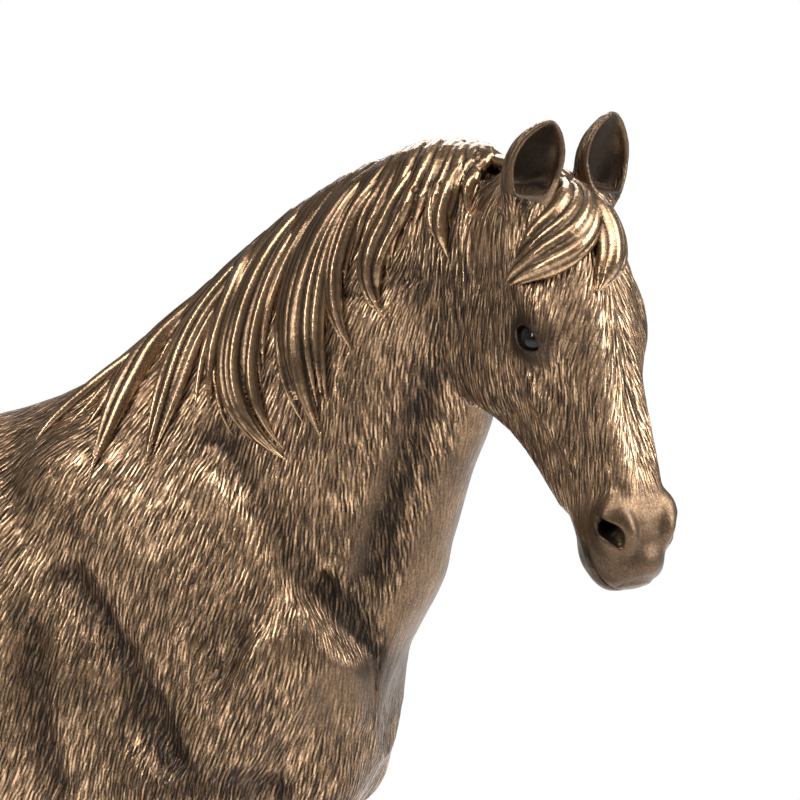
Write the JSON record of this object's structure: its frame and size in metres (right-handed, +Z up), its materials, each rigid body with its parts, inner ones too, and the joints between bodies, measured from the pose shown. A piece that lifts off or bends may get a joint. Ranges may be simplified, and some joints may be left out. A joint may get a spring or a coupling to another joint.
{
  "type": "horse statue",
  "caption": "Standing horse in cast bronze, its head turned to one side and its mane falling in polished locks, on an oval base with felt beneath.",
  "frame": {"origin": "centre of the felt's underside, on the surface that the statue stands on", "axes": "+X the way the horse faces, +Y the horse's left side, +Z up"},
  "size_m": [0.2969, 0.092, 0.2693],
  "materials": {
    "bronze_tooled": "brown bronze patina, short tooled hair grooves, rubbed lighter on the high places",
    "bronze_polished": "brown bronze patina rubbed back to bright ridges along the strands",
    "bronze_ground": "dark brown bronze patina, rough modelled ground",
    "eye_black": "glossy black",
    "felt": "dark felt",
    "hardware_steel": "plain steel"
  },
  "bodies": {
    "root": {"torso_rear": "bronze_tooled", "torso_front": "bronze_tooled", "neck": "bronze_tooled", "head": "bronze_tooled", "ear_left": "bronze_tooled", "ear_right": "bronze_tooled", "foreleg_right": "bronze_tooled", "foreleg_left": "bronze_tooled", "hindleg_right": "bronze_tooled", "hindleg_left": "bronze_tooled", "forelock": "bronze_polished", "mane_crest": "bronze_polished", "mane_lock_1": "bronze_polished", "mane_lock_2": "bronze_polished", "mane_lock_3": "bronze_polished", "mane_lock_4": "bronze_polished", "mane_lock_5": "bronze_polished", "mane_lock_6": "bronze_polished", "mane_lock_7": "bronze_polished", "mane_lock_8": "bronze_polished", "tail": "bronze_polished", "base": "bronze_ground", "eye_left": "eye_black", "eye_right": "eye_black", "base_felt": "felt", "barrel_sleeve": "hardware_steel", "foreleg_right_dowel": "hardware_steel", "foreleg_right_stud": "hardware_steel", "foreleg_right_washer": "hardware_steel", "foreleg_right_nut": "hardware_steel", "foreleg_left_dowel": "hardware_steel", "foreleg_left_stud": "hardware_steel", "foreleg_left_washer": "hardware_steel", "foreleg_left_nut": "hardware_steel", "hindleg_right_dowel": "hardware_steel", "hindleg_right_stud": "hardware_steel", "hindleg_right_washer": "hardware_steel", "hindleg_right_nut": "hardware_steel", "hindleg_left_dowel": "hardware_steel", "hindleg_left_stud": "hardware_steel", "hindleg_left_washer": "hardware_steel", "hindleg_left_nut": "hardware_steel", "tail_dowel": "hardware_steel", "head_dowel": "hardware_steel"}
  },
  "joints": []
}
